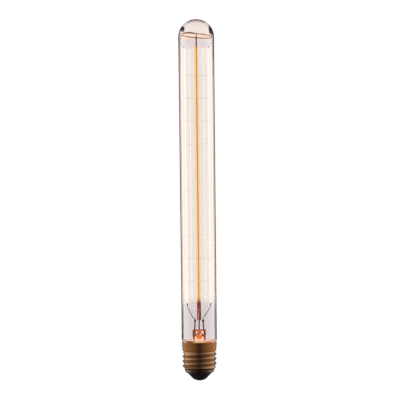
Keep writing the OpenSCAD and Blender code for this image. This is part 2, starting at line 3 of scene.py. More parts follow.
import bmesh
import bpy
import numpy as np
from mathutils import Matrix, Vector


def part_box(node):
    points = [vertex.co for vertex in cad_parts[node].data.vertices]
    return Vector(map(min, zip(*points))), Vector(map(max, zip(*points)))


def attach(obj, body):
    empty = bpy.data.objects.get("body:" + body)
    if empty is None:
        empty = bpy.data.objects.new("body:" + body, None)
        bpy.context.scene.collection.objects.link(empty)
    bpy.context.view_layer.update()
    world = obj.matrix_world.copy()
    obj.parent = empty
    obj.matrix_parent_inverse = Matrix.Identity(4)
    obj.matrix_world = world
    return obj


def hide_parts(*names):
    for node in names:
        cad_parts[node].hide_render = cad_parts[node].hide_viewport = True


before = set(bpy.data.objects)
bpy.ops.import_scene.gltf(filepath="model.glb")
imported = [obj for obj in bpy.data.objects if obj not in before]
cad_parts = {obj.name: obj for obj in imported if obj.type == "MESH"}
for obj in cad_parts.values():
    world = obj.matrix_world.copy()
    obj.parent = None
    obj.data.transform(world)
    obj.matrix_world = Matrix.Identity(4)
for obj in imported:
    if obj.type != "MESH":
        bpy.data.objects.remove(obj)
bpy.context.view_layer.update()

MM = 0.001


def low_high(node):
    """Lowest and highest corner of a CAD node as arrays, in metres."""
    low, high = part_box(node)
    return np.array(low), np.array(high)


# Places that the frame gives
GLASS_LOW, GLASS_HIGH = low_high("glass_envelope")
CAP_LOW, CAP_HIGH = low_high("cap_shell")
INSULATOR_LOW, INSULATOR_HIGH = low_high("cap_insulator")
PLATE_LOW, PLATE_HIGH = low_high("contact_plate")
ROD_LOW, ROD_HIGH = low_high("centre_rod")
POST_LOW, POST_HIGH = low_high("centre_post")
PRESS_LOW, PRESS_HIGH = low_high("stem_press")
NECK_R = low_high("stem_flare")[1][0]
SOLDER_R = low_high("contact_solder")[1][0]
FILAMENT_TOP = low_high("filament")[1][2]

# Clearance of a wire in its seat
FIT = 0.05 * MM

# Glass tube
DOME_R = GLASS_HIGH[0]
DOME_Z = GLASS_HIGH[2] - DOME_R
BASE_R = 13.6 * MM
GLASS_T = 0.9 * MM
SHOULDER_GAP = 1.8 * MM
SHOULDER_R = 1.4 * MM
RIM_Z = CAP_HIGH[2]

# Screw cap
PITCH = 3.629 * MM
KNUCKLE_R = 1.025 * MM
THREAD_R = 13.15 * MM
CREST_RISE = 3.34 * MM
THREAD_LEN = 13.8 * MM
SKIRT_R = 13.1 * MM
SKIRT_STEP = 0.6 * MM
CAP_SHOULDER_H = 3.1 * MM
CAP_SHOULDER_R = 11.5 * MM
LIP_R = 9.2 * MM
THREAD_Z = CAP_LOW[2] + CAP_SHOULDER_H
SHEET_T = 0.3 * MM
SHEET_FIT = 0.09 * MM

# Filament cage, angles in degrees
CAGE_R = 9.8 * MM
RUNS = 6
RUN_LENGTH = 199.4 * MM
RUN_STEP = 41
BACK_GAP = 67
TURN_R = 0.9 * MM
FILAMENT_D = 0.35 * MM
FILAMENT_FIT = 0.08 * MM
COIL_WIRE_D = 0.11 * MM
COIL_PITCH = 0.3 * MM
CAGE_TOP = FILAMENT_TOP - FILAMENT_D / 2
CAGE_Z = CAGE_TOP - RUN_LENGTH
SOCKET_DEPTH = 0.7 * MM
TIP_SOCKET_DEPTH = 0.35 * MM
ANCHOR_D = 0.3 * MM
ANCHOR_INSET = 1.6 * MM
ANCHOR_FALL = 0.4 * MM
ANCHOR_REACH = 0.1 * MM
ANCHOR_TIP = 0.8 * MM
ANCHOR_GAP = 0.15 * MM
ARM_D = 0.18 * MM
ARM_BEND = 0.06 * MM
LOOP_D = 0.2 * MM
LOOP_START = 165
LOOP_OPENING = 70
LEVELS = 10

# Rod, press, posts and leads
ROD_R = ROD_HIGH[0]
ROD_TIP_R = 1.15 * MM
ROD_TAPER_H = 4 * MM
POST_D = 1.0 * MM
POST_BORE_R = 0.55 * MM
PRESS_Z = PRESS_HIGH[2]
LEAD_X = 3.7 * MM
LEAD_LEAN = 0.6 * MM
LEAD_SEAT = 3.2 * MM
LEAD_RISE = 7 * MM
LEAD_D = 1.0 * MM
JOINT_D = 1.7 * MM
JOINT_H = 2.2 * MM
THIN_LEAD_D = 0.5 * MM
CLAMP_D = 0.9 * MM
CLAMP_H = 1.6 * MM
CLAMP_FLOOR = 0.4 * MM
LEFT_BENDS = np.array([[-1.9, -1.2, 1.3], [-3.1, -2.3, 4.1]]) * MM

# Hoop, angles in degrees
HOOP_D = 0.6 * MM
HOOP_R = 12.15 * MM
HOOP_START = 205
HOOP_SWEEP = 330
HOOP_BEND = 12
HOOP_BEND_R = 1 * MM
HOOP_PEAK = 1.6 * MM
HOOP_BOW = 1 * MM
HOOP_LIFT = 2.8
HOOP_FALL = 5.5

# Finishes read places in millimetres. The filament lights the lamp from LIT_LOW to LIT_HIGH.
LIT_LOW = CAGE_Z / MM
LIT_HIGH = CAGE_TOP / MM
DOME_FOOT = DOME_Z / MM
ROD_TOP = ROD_HIGH[2] / MM


class Value:
    """A shader socket. Operators on it add Math nodes to its tree, also with a number on the left."""

    def __init__(self, finish, socket):
        self.finish = finish
        self.socket = socket

    def math(self, operation, *values):
        """The result of a Math node with that operation on the values."""
        return self.finish.node("ShaderNodeMath", {"operation": operation}, dict(enumerate(values)))

    def __add__(self, other):
        return self.math("ADD", self, other)

    def __radd__(self, other):
        return self.math("ADD", other, self)

    def __sub__(self, other):
        return self.math("SUBTRACT", self, other)

    def __rsub__(self, other):
        return self.math("SUBTRACT", other, self)

    def __mul__(self, other):
        return self.math("MULTIPLY", self, other)

    def __rmul__(self, other):
        return self.math("MULTIPLY", other, self)

    def __truediv__(self, other):
        return self.math("DIVIDE", self, other)

    def __rtruediv__(self, other):
        return self.math("DIVIDE", other, self)

    def __pow__(self, other):
        return self.math("POWER", self, other)

    def __abs__(self):
        return self.math("ABSOLUTE", self)

    def at_least(self, low):
        """The larger of this value and low."""
        return self.math("MAXIMUM", self, low)


class Finish:
    """The shader tree of a material or of the world, emptied and ready for its nodes."""

    def __init__(self, owner):
        owner.use_nodes = True
        self.owner = owner
        self.tree = owner.node_tree
        self.tree.nodes.clear()

    def node(self, kind, settings=(), inputs=(), out=0):
        """A node of that type: its settings are set first, then the values or links of its sockets."""
        made = self.tree.nodes.new(kind)
        for key, value in dict(settings).items():
            setattr(made, key, value)
        for key, value in dict(inputs).items():
            if isinstance(value, Value):
                self.tree.links.new(value.socket, made.inputs[key])
            else:
                made.inputs[key].default_value = value
        return Value(self, made.outputs[out]) if made.outputs else None

    def coords(self, scale=(1, 1, 1)):
        """Object coordinates in millimetres, stretched by scale."""
        place = self.node("ShaderNodeTexCoord", out=3)
        size = tuple(s / MM for s in scale)
        return self.node("ShaderNodeVectorMath", {"operation": "MULTIPLY"}, {0: place, 1: size})

    def axis(self, number, place=None):
        """The x, y or z of a place, which is in millimetres where none is given."""
        return self.node("ShaderNodeSeparateXYZ", (), {0: place or self.coords()}, out=number)

    def noise(self, scale, detail=3, stretch=(1, 1, 1)):
        """Noise from 0 to 1 with scale lumps in a millimetre."""
        return self.node(
            "ShaderNodeTexNoise", (),
            {"Vector": self.coords(stretch), "Scale": scale, "Detail": detail, "Roughness": 0.6})

    def ease(self, value, low, high):
        """Rises smoothly from 0 at low to 1 at high."""
        return self.node(
            "ShaderNodeMapRange", {"interpolation_type": "SMOOTHSTEP"}, {0: value, 1: low, 2: high})

    def band(self, value, rise, fall):
        """Rises from 0 to 1 between the two values of rise, and falls back between those of fall."""
        return self.ease(value, *rise) * (1 - self.ease(value, *fall))

    def within(self, value, low, high, soft):
        """1 between low and high, with soft edges that lie inside."""
        return self.band(value, (low, low + soft), (high - soft, high))

    def spot(self, x, z, middle, size):
        """1 in an ellipse about its middle, with half axes of that size and a soft edge."""
        x, z = (x - middle[0]) / size[0], (z - middle[1]) / size[1]
        return 1 - self.ease(x * x + z * z, 0.65, 1)

    def mix(self, factor, a, b):
        """Colour a at factor 0 and colour b at factor 1."""
        a = a if isinstance(a, Value) else (*a, 1)
        b = b if isinstance(b, Value) else (*b, 1)
        return self.node("ShaderNodeMix", {"data_type": "RGBA"}, {0: factor, 6: a, 7: b}, out=2)

    def layers(self, base, *coats):
        """The base colour with each coat, a factor and its colour, laid over it in turn."""
        for factor, colour in coats:
            base = self.mix(factor, base, colour)
        return base

    def facing(self):
        """0 where the surface faces the ray, 1 where it is seen edge on."""
        return self.node("ShaderNodeLayerWeight", (), {"Blend": 0.5}, out=1)

    def bump(self, height, depth, strength=1.0):
        """A normal from a height of 0 to 1 that stands for that depth in metres."""
        return self.node(
            "ShaderNodeBump", (), {"Strength": strength, "Distance": depth, "Height": height})

    def shader(self, **inputs):
        """A Principled shader. Names are given with _ for a blank."""
        sockets = {key.replace("_", " "): value for key, value in inputs.items()}
        return self.node("ShaderNodeBsdfPrincipled", (), {
            key: (*value, 1) if isinstance(value, tuple) else value for key, value in sockets.items()})

    def glass(self, colour, painted_glow=(0, 0, 0)):
        """Clear glass of that colour, with a painted glow: the light that it gives off."""
        return self.shader(
            Base_Color=colour, Roughness=0.0, IOR=1.5, Transmission_Weight=1.0,
            Emission_Color=painted_glow, Emission_Strength=1.0)

    def blend(self, factor, first, second):
        """The first shader at factor 0 and the second at factor 1."""
        return self.node("ShaderNodeMixShader", (), {0: factor, 1: first, 2: second})

    def output(self, shader):
        """The material, with that shader on its surface."""
        self.node("ShaderNodeOutputMaterial", (), {"Surface": shader})
        return self.owner

    def surface(self, **inputs):
        """The material, with one Principled shader."""
        return self.output(self.shader(**inputs))


def material(name):
    """The empty finish of a new material."""
    return Finish(bpy.data.materials.new(name))


def envelope_glass():
    """Clear glass, with painted light and shade. Seen edge on it has a painted dark line that stands for
    the dark of the room bent by the glass: brown where the filament lights it and dark elsewhere, it
    widens into painted dark shapes at the sides of the dome. It has a painted peach glow round the
    hoop and a painted highlight where the dome faces the ray, and over the cap its shoulder has a
    painted glow of the stem's light."""
    f = material("envelope_glass")
    x, height = f.axis(0), f.axis(2)
    across, edge_on = abs(x), f.facing()
    right = f.ease(x, -1, 1)
    rear = f.ease(f.axis(1), -7, -2)
    lit = f.band(height, (LIT_LOW - 1, LIT_LOW + 7), (LIT_HIGH - 2, LIT_HIGH + 1.5))
    low = 1 - f.ease(height, 50, 64)
    corner = (1 - right) * (1 - f.ease(height, 34, 50))
    shoulder = 1 - f.ease(height, 30.5, 31.5)
    over_shoulder = 1 - f.ease(height, 31, 34)
    over_rim = 1 - f.ease(height, 31.6, 33)
    upper = f.ease(height, 235, 258)
    # Painted glow: a peach band of light round the hoop.
    hoop_glow = f.band(height, (262.5, 266), (268.8, 270.5))
    dome = f.ease(height, DOME_FOOT + 2, DOME_FOOT + 6)
    over_hoop = f.ease(height, 269, 271)
    # Where the painted dark edge line widens and turns maroon at the top of the dome.
    crown = f.ease(height, 276.2, 278)
    # Painted dark shapes at the sides of the dome, standing for the dark room seen in the glass.
    left_shape = f.band(height, (270.0, 271.4), (272.2, 275.4)) * (1 - right)
    right_shape = f.band(height, (266.6, 271), (271.4, 276.6)) * right

    # Painted dark edge line: glass seen more edge on than start is painted dark, for the dark room bent
    # by the glass.
    start = 0.66 - 0.03 * upper - 0.055 * low - 0.02 * lit + 0.18 * dome - 0.148 * crown
    start = start - 0.43 * left_shape - 0.36 * right_shape
    depth = 0.97 - 0.05 * low * (1 - corner)
    edge_line = f.ease(edge_on, start, start + 0.05) * depth * (1 - shoulder)
    edge_line = edge_line * (1 - 0.6 * f.ease(edge_on, 0.84, 0.92) * lit)

    # Painted highlight where the dome faces the ray.
    dome_face = f.mix(f.ease(edge_on, 0, 0.05), (1.0, 0.98, 0.93), (0.945, 0.89, 0.865))
    # Glass colour, darker low down, with painted light laid on it: a painted peach glow over the
    # shoulder and round the hoop, the dome's painted highlight, and a painted brightening near the edges
    # in the lit stretch.
    face = f.layers(
        (0.884, 0.844, 0.842),
        (low, (0.845, 0.796, 0.794)),
        (over_shoulder, (0.885, 0.77, 0.73)),
        (hoop_glow, (0.99, 0.85, 0.76)),
        (over_hoop, f.mix(crown, dome_face, (0.95, 0.82, 0.79))),
        (f.ease(edge_on, 0.35, 0.6) * lit, (0.965, 0.905, 0.83)))
    # Painted glow that the glass gives off: the filament's light over the lit stretch, stronger in a
    # ring seen nearly edge on, and fainter low down and just above the cap.
    ring = f.ease(edge_on, 0.42, 0.52)
    painted_glow = f.layers(
        (0, 0, 0),
        (lit, (0.031, 0.026, 0.016)),
        (low * ring, (0.05, 0.044, 0.045)),
        (lit * ring, (0.12, 0.062, 0.035)),
        (over_rim, (0.055, 0.05, 0.055)))

    # Colour of the painted dark edge line: brown in the lit stretch, dark elsewhere, maroon at the top
    # of the dome.
    brown = lit * (1 - 0.6 * f.ease(height, 200, 255))
    dark = f.layers(
        (0.034, 0.015, 0.016), (brown, (0.15, 0.022, 0.02)), (crown, (0.055, 0.003, 0.005)))
    edge_shade = f.shader(Base_Color=dark, Roughness=0.5, Specular_IOR_Level=0.0)

    # Painted glow of the stem's light on the shoulder over the cap: yellow in the middle, dark brown at
    # the front left, lighter at the front right, pale peach at the rear.
    middle = 1 - f.ease(across, 2.8, 5.8)
    front_glow_colour = f.mix(right, (0.16, 0.075, 0.045), (0.5, 0.22, 0.13))
    rear_glow_colour = f.mix(f.ease(across, 5, 10), (0.8, 0.59, 0.52), (0.9, 0.74, 0.69))
    glow_colour = f.layers(front_glow_colour, (middle, (0.62, 0.4, 0.17)), (rear, rear_glow_colour))
    glow = f.shader(Base_Color=glow_colour, Roughness=0.35, Emission_Color=glow_colour, Emission_Strength=0.7)
    tube = f.blend(edge_line, f.glass(face, painted_glow), edge_shade)
    return f.output(f.blend(shoulder * (0.92 - 0.1 * rear), tube, glow))


def stem_glass():
    """Glass with a painted glow of the filament's light: an uneven red brown, dark red along the two
    leads, with an orange core over a pale arch at its foot, dark spots and a few painted highlights."""
    f = material("stem_glass")
    x, height = f.axis(0), f.axis(2)
    across = abs(x)
    inner = 1 - f.ease(across, 4.1, 4.4) * (1 - f.ease(height, 34, 35.5))
    column = f.within(across, 3.2, 4.9, 0.4) * inner
    x = x + 1.8 * (f.noise(0.7, 2) - 0.5)
    height = height + 1.4 * (f.noise(0.6, 1) - 0.5)

    def spots(*places):
        return sum(f.spot(x, height, middle, size) for middle, size in places)

    # Painted light: the orange core and the pale arch below it glow with the filament's light.
    arch = f.spot(x, (height - 32.5).at_least(0), (0, 0), (3.9, 3.0))
    core = f.spot(x, height, (0.1, 33.8), (2.8, 1.6))
    # Two dark spots.
    dark_spot = spots(((3.2, 34.9), (0.9, 0.6)), ((-2.6, 35.1), (0.6, 0.5)))
    # Painted highlights: a few bright spots.
    painted_highlight = f.spot(x - 0.2 * height, height, (-9.35, 37.2), (0.55, 1.3))
    painted_highlight = painted_highlight + spots(
        ((2.5, 37.4), (1.3, 0.95)), ((3.4, 36.4), (0.7, 0.6)), ((1.0, 35.8), (0.75, 0.5)))
    painted_highlight = painted_highlight * (0.3 + 0.7 * f.ease(f.noise(1.1, 2), 0.36, 0.5))
    streak = f.spot(x + 0.25 * height, height, (7.1, 31.0), (0.45, 2.2))
    streak = streak + f.spot(x - 0.25 * height, height, (-6.5, 31.0), (0.45, 2.2))
    glow_colour = f.layers(
        (0.13, 0.025, 0.008),
        (f.ease(f.noise(0.9, 2), 0.42, 0.58), (0.62, 0.2, 0.065)),
        (arch, f.mix(streak, (1.0, 0.72, 0.56), (0.62, 0.2, 0.07))),
        (core, (0.76, 0.18, 0.006)),
        (dark_spot, (0.07, 0.02, 0.006)),
        (painted_highlight, (1.0, 0.8, 0.62)),
        (column, (0.16, 0.03, 0.02)))
    glass = f.glass(f.mix(f.ease(f.facing(), 0.2, 0.6), (0.9, 0.6, 0.42), (0.6, 0.2, 0.1)))
    # The colour is given off as light: a painted glow.
    lump = f.shader(
        Base_Color=glow_colour, Roughness=0.15, Specular_IOR_Level=0.2, Emission_Color=glow_colour,
        Emission_Strength=0.8)
    return f.output(f.blend(0.72 + 0.26 * (column + core + arch + painted_highlight), glass, lump))


def rod_glass():
    """Amber where the filament lights it, a painted glow that also gives off light, deeper at its sides
    and painted deeper where the lit stretch ends. Its foot is maroon, an opaque painted shade, and has a
    painted light streak beside a dark one near its end."""
    f = material("rod_glass")
    x, height = f.axis(0), f.axis(2)
    # Painted filament light: the lit stretch is painted amber and gives off light, fading where the lit
    # stretch ends.
    lit = f.ease(height, LIT_LOW - 0.7, LIT_LOW + 3)
    lit_end = 1 - f.ease(height, 60.5, 66)
    side = f.ease(f.facing(), 0.25, 0.5)
    amber = f.layers(
        (0.96, 0.63, 0.27),
        (f.noise(0.5, 2, (1, 1, 0.15)), (1.0, 0.8, 0.42)),
        (side, (0.86, 0.44, 0.11)),
        (lit_end, (0.72, 0.26, 0.07)))
    glass = f.glass(
        f.mix(lit, (0.8, 0.42, 0.36), amber), f.mix(lit, (0.01, 0.0, 0.0), (0.11, 0.06, 0.018)))

    # Painted shade below the lit stretch: the rod is an opaque maroon, with a painted light streak that
    # gives off light and a darker stretch to its right near its end.
    end = 1 - f.ease(height, 51.5, 54)
    streak = f.within(x, -1.0, 0.1, 0.35) * end
    maroon = f.layers(
        (0.26, 0.035, 0.02),
        (f.ease(f.noise(1.0, 2, (1, 1, 0.35)), 0.36, 0.62), (0.75, 0.25, 0.16)),
        (f.ease(x, 0.1, 0.9) * end, (0.16, 0.02, 0.012)),
        (streak, (0.85, 0.42, 0.36)))
    shade = f.shader(
        Base_Color=maroon, Roughness=0.4, Specular_IOR_Level=0.03,
        Emission_Color=f.mix(streak, (0, 0, 0), (0.24, 0.13, 0.11)), Emission_Strength=1.0)
    return f.output(f.blend(0.97 * (1 - lit), glass, shade))


def aged_brass():
    """Brass with painted reflections: dark brown crests and lighter roots, and a brown skirt. The lower
    shoulder is painted darker as shade, with a painted dark line of shade under the thread and a
    painted grey highlight band at its sides. Fine marks run round the axis."""
    f = material("aged_brass")
    x, y, height = (f.axis(k) for k in range(3))
    cloud = f.noise(0.35, 4)
    spun = f.ease(f.noise(0.9, 3, (0.04, 0.04, 1)), 0.3, 0.7)
    worn = 0.3 * f.noise(3.0, 5, (1, 1, 2.5)) + 0.3 * cloud + 0.4 * spun
    # Painted reflection: the thread's roots are painted light and its crests dark.
    root = 1 - f.ease((x * x + y * y) ** 0.5, 12.5, 13.05)
    shoulder = 1 - f.ease(height, 9.5, 10.3)
    # Painted shade in the crease under the thread.
    crease_shade = f.within(height, 8.6, 9.6, 0.4)
    # Painted highlight: a grey band on the sides of the lower shoulder.
    shoulder_highlight = f.within(height, 6.7, 8.6, 0.4) * f.ease(abs(x), 5, 8)
    # Colours: crests dark and roots light as painted reflection, the skirt brown.
    crest = f.mix(worn, (0.2, 0.09, 0.03), (0.33, 0.155, 0.06))
    skirt = f.mix(worn, (0.3, 0.115, 0.032), (0.42, 0.17, 0.055))
    light = f.mix(worn, (0.5, 0.27, 0.13), (0.68, 0.4, 0.22))
    # Painted shade: the lower shoulder is painted dark, with random tone, the crease's painted shade and
    # the grey painted highlight.
    deep = f.layers(
        (0.09, 0.036, 0.019),
        (cloud, (0.15, 0.065, 0.034)),
        (crease_shade, (0.03, 0.012, 0.006)),
        (shoulder_highlight, (0.24, 0.16, 0.13)))
    return f.surface(
        Base_Color=f.layers(crest, (f.ease(height, 21.6, 24), skirt), (root, light), (shoulder, deep)),
        Metallic=1.0, Roughness=0.14 + 0.12 * cloud, Normal=f.bump(worn, 0.03 * MM, 0.2))


def contact_brass():
    """Dull brass with a tarnish in clouds."""
    f = material("contact_brass")
    cloud = f.noise(0.8, 4)
    return f.surface(
        Base_Color=f.mix(cloud, (0.12, 0.08, 0.05), (0.22, 0.16, 0.09)), Metallic=1.0,
        Roughness=0.35 + 0.15 * cloud, Normal=f.bump(f.noise(4, 4), 0.02 * MM, 0.5))


def solder_metal():
    """Grey solder with an uneven, half dull skin."""
    f = material("solder_metal")
    cloud = f.noise(0.9, 4)
    return f.surface(
        Base_Color=f.mix(cloud, (0.2, 0.19, 0.19), (0.38, 0.37, 0.36)), Metallic=1.0,
        Roughness=0.3 + 0.25 * cloud, Normal=f.bump(f.noise(1.5, 4), 0.06 * MM, 0.6))


def black_insulator():
    """Black glazed insulator: pits and a faint swirl show in its gloss."""
    f = material("black_insulator")
    cloud = f.noise(0.5, 4)
    return f.surface(
        Base_Color=f.mix(cloud, (0.005, 0.003, 0.005), (0.012, 0.008, 0.011)),
        Roughness=0.22 + 0.2 * f.noise(1.2, 5), Specular_IOR_Level=0.06,
        Normal=f.bump(f.noise(2.2, 4), 0.03 * MM, 0.4))


def cement_finish():
    """Buff cement with a fine grit."""
    f = material("basing_cement")
    grit = f.noise(3, 6)
    return f.surface(
        Base_Color=f.mix(grit, (0.42, 0.36, 0.27), (0.62, 0.56, 0.45)), Roughness=0.9,
        Normal=f.bump(grit, 0.08 * MM, 0.8))


def wire_metal(name, dull, bright, roughness, glow=(0, 0, 0), grain=6.0, metal=1.0):
    """Drawn wire: fine marks along its length, oxide clouds, and the filament's light on it, painted as
    a glow. Metal is 0 where oxide covers it."""
    f = material(name)
    cloud = f.noise(0.6, 3)
    marks = f.noise(grain, 3)
    height = f.axis(2)
    lit = f.within(height, LIT_LOW - 3, LIT_HIGH + 3, 5)
    return f.surface(
        Base_Color=f.mix(cloud * 0.6 + marks * 0.4, dull, bright), Metallic=metal,
        Specular_IOR_Level=0.03, Roughness=roughness + 0.15 * marks,
        Normal=f.bump(marks, 0.01 * MM, 0.4),
        Emission_Color=f.mix(lit, (0, 0, 0), glow), Emission_Strength=1.0)


def hoop_metal():
    """Oxide brown, with the warm light of the filament painted on its near side, left of the post."""
    f = material("hoop_metal")
    marks = f.noise(6, 3)
    # Painted light of the filament on the near side, left of the post.
    warm = f.within(f.axis(0), -9, 0.5, 3) * (1 - f.ease(f.axis(1), -10, -6))
    oxide = f.mix(marks, (0.12, 0.022, 0.008), (0.24, 0.06, 0.025))
    return f.surface(
        Base_Color=f.mix(warm, oxide, (0.85, 0.34, 0.12)), Roughness=0.5 + 0.15 * marks,
        Specular_IOR_Level=0.03, Normal=f.bump(marks, 0.01 * MM, 0.4))


def top_anchor_metal():
    """The filament's light on the hooks' shanks is painted as a glow. Their tips are dark."""
    f = material("top_anchor_metal")
    x, y = f.axis(0), f.axis(1)
    marks = f.noise(6, 3)
    tip = f.ease((x * x + y * y) ** 0.5, 9.3, 9.8)
    shank = f.mix(marks, (0.62, 0.42, 0.36), (0.8, 0.6, 0.54))
    return f.surface(
        Base_Color=f.mix(tip, shank, (0.12, 0.05, 0.04)), Roughness=0.5, Specular_IOR_Level=0.03,
        Emission_Color=f.mix(tip, shank, (0, 0, 0)), Emission_Strength=0.9,
        Normal=f.bump(marks, 0.01 * MM, 0.4))


def post_metal():
    """Oxide brown, deep red below the rod, and a painted glow where the filament shines through the rod.
    """
    f = material("post_metal")
    height = f.axis(2)
    marks = f.noise(4, 3)
    # Painted glow of the filament's light through the rod.
    lit = f.within(height, LIT_LOW + 1, ROD_TOP - 1, 4)
    oxide = f.mix(marks, (0.04, 0.007, 0.005), (0.1, 0.025, 0.02))
    return f.surface(
        Base_Color=f.mix(f.ease(height, 50, 60), (0.3, 0.02, 0.025), oxide),
        Specular_IOR_Level=0.03, Roughness=0.35 + 0.2 * marks,
        Emission_Color=f.mix(lit, (0, 0, 0), (0.33, 0.25, 0.17)), Emission_Strength=1.0)


def hot_filament():
    """Tungsten at work: the coil's turns glow cream, and less where the anchors cool them."""
    f = material("hot_filament")
    height = f.axis(2)
    foot = 1 - f.ease(height, LIT_LOW + 0.3, LIT_LOW + 2)
    top = f.ease(height, LIT_HIGH - 2.5, LIT_HIGH - 0.6)
    glow = f.layers(
        (1.0, 0.76, 0.42),
        (f.noise(1.5, 2), (1.0, 0.86, 0.58)),
        (foot, (0.5, 0.45, 0.44)),
        (top, (0.47, 0.33, 0.28)))
    return f.surface(
        Base_Color=(0.3, 0.24, 0.18), Metallic=1.0, Roughness=0.5,
        Emission_Color=glow, Emission_Strength=2.0)


def mesh_of(name, grids, sharp=40, closed_u=False):
    """One mesh of several surfaces, each an array of points[u, v] whose columns v close into rings.
    Its quads face along du x dv. Rows that shrink to a point become poles, and with closed_u the
    last row joins the first."""
    points, quads, start = [], [], 0
    for grid in grids:
        rows, columns = grid.shape[:2]
        index = start + np.arange(rows * columns).reshape(rows, columns)
        index = np.concatenate([index, index[:, :1]], axis=1)
        if closed_u:
            index = np.concatenate([index, index[:1]], axis=0)
        cells = [index[:-1, :-1], index[1:, :-1], index[1:, 1:], index[:-1, 1:]]
        quads.append(np.stack(cells, axis=-1).reshape(-1, 4))
        points.append(grid.reshape(-1, 3))
        start += rows * columns
    points, quads = np.concatenate(points), np.concatenate(quads)
    mesh = bpy.data.meshes.new(name)
    mesh.vertices.add(len(points))
    mesh.vertices.foreach_set("co", points.astype(np.float32).ravel())
    mesh.loops.add(quads.size)
    mesh.loops.foreach_set("vertex_index", quads.astype(np.int32).ravel())
    mesh.polygons.add(len(quads))
    mesh.polygons.foreach_set("loop_start", np.arange(0, quads.size, 4, dtype=np.int32))
    mesh.update(calc_edges=True)
    edit = bmesh.new()
    edit.from_mesh(mesh)
    bmesh.ops.remove_doubles(edit, verts=edit.verts, dist=1e-7)
    edit.to_mesh(mesh)
    edit.free()
    mesh.shade_smooth()
    mesh.set_sharp_from_angle(angle=math.radians(sharp))
    return mesh


def piece(name, mesh, finish, slot, *nodes):
    """The new piece stands for those CAD nodes and takes the finish that it is given. The slot is not
    used.
    """
    made = bpy.data.objects.new(name, mesh)
    mesh.materials.append(finish)
    bpy.context.scene.collection.objects.link(made)
    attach(made, "root")
    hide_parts(*nodes)
    return made


def dress(finish, *nodes):
    """CAD nodes that stay get the finish."""
    for node in nodes:
        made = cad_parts[node]
        if not made.material_slots:
            made.data.materials.append(finish)
        for slot in made.material_slots:
            slot.material = finish


def turned(profile, columns=192, at=(0, 0, 0)):
    """The profile's points [r, z] turned about the upright axis through at. A profile that goes
    down its outside and up its inside faces out of the material."""
    profile = np.asarray(profile, float)
    a = np.arange(columns) * 2 * math.pi / columns
    r, z = profile[:, :1], profile[:, 1:]
    return np.stack([r * np.cos(a), r * np.sin(a), z + 0 * a], axis=-1) + np.array(at)


def arc(cx, cz, r, start, end, n):
    """n + 1 points of a circle about [cx, cz], from angle start to end in degrees."""
    a = np.radians(np.linspace(start, end, n + 1))
    return np.stack([cx + r * np.cos(a), cz + r * np.sin(a)], axis=1)


def line(a, b, n):
    """n + 1 points from a to b."""
    return np.linspace(a, b, n + 1)


def polar(r, a, z):
    """The point at radius r, angle a in degrees and height z."""
    return np.array([r * math.cos(math.radians(a)), r * math.sin(math.radians(a)), z])


def unit(v):
    """Vectors brought to the length of 1."""
    return v / np.linalg.norm(v, axis=-1, keepdims=True)


def rounded(points, r, n=6):
    """The route through points with each inner corner turned on an arc of radius r."""
    route = [points[0]]
    for a, b, c in zip(points, points[1:], points[2:]):
        u, w = unit(a - b), unit(c - b)
        half = math.acos(np.clip(u @ w, -1, 1)) / 2
        middle = b + unit(u + w) * r / math.sin(half)
        s, e = b + u * r / math.tan(half) - middle, b + w * r / math.tan(half) - middle
        turn = math.pi - 2 * half
        t = np.linspace(0, 1, n + 1)[:, None]
        route.extend(middle + (np.sin((1 - t) * turn) * s + np.sin(t * turn) * e) / math.sin(turn))
    return np.array([*route, points[-1]])


def distances(route):
    """Distance of each point of a route from its start."""
    return np.concatenate([[0], np.cumsum(np.linalg.norm(np.diff(route, axis=0), axis=1))])


def along(route, places):
    """Points of a route at distances from its start."""
    length = distances(route)
    return np.stack([np.interp(places, length, route[:, k]) for k in range(3)], axis=1)


def wire(route, diameter, side, sides=12):
    """A round wire along a route. The side is a direction that the route never takes. Its ends are
    rounded over half a radius: the radius there is that of an ellipse."""
    radius = diameter / 2
    tip = radius / 2
    length = distances(route)
    ends = tip * (1 - np.cos(np.linspace(0, math.pi / 2, 4)))
    clear = tip * 1.2
    inner = length[(length > clear) & (length < length[-1] - clear)]
    places = np.concatenate([ends, inner, length[-1] - ends[::-1]])
    points = along(route, places)
    near = np.clip(np.minimum(places, length[-1] - places) / tip, 0, 1)
    r = radius * np.sqrt(1 - (1 - near) ** 2)
    t = unit(np.gradient(points, places, axis=0))
    side = np.broadcast_to(np.asarray(side, float), points.shape)
    n = unit(side - np.sum(side * t, axis=1, keepdims=True) * t)
    b = np.cross(t, n)
    a = -np.arange(sides) * 2 * math.pi / sides
    ring = np.cos(a)[:, None] * n[:, None] + np.sin(a)[:, None] * b[:, None]
    return points[:, None] + r[:, None, None] * ring


def coil(route, coil_d, wire_d, pitch, steps=6, sides=3):
    """A wire wound round a route: point s lies (coil_d - wire_d) / 2 from the route at an angle of
    s / pitch turns, counted from the direction that points away from the Z axis."""
    s = np.arange(0, distances(route)[-1], pitch / steps)
    centre = along(route, s)
    t = unit(np.gradient(centre, axis=0))
    out = centre * [1, 1, 0]
    n = unit(out - np.sum(out * t, axis=1, keepdims=True) * t)
    b = np.cross(t, n)
    turn = (s / pitch * 2 * math.pi)[:, None]
    spoke = np.cos(turn) * n + np.sin(turn) * b
    points = centre + (coil_d - wire_d) / 2 * spoke
    heading = unit(np.gradient(points, axis=0))
    spoke = unit(spoke - np.sum(spoke * heading, axis=1, keepdims=True) * heading)
    other = np.cross(heading, spoke)
    a = -np.arange(sides) * 2 * math.pi / sides
    ring = np.cos(a)[:, None] * spoke[:, None] + np.sin(a)[:, None] * other[:, None]
    r = np.full(len(s), wire_d / 2)
    r[[0, -1]] = 0
    return points[:, None] + r[:, None, None] * ring


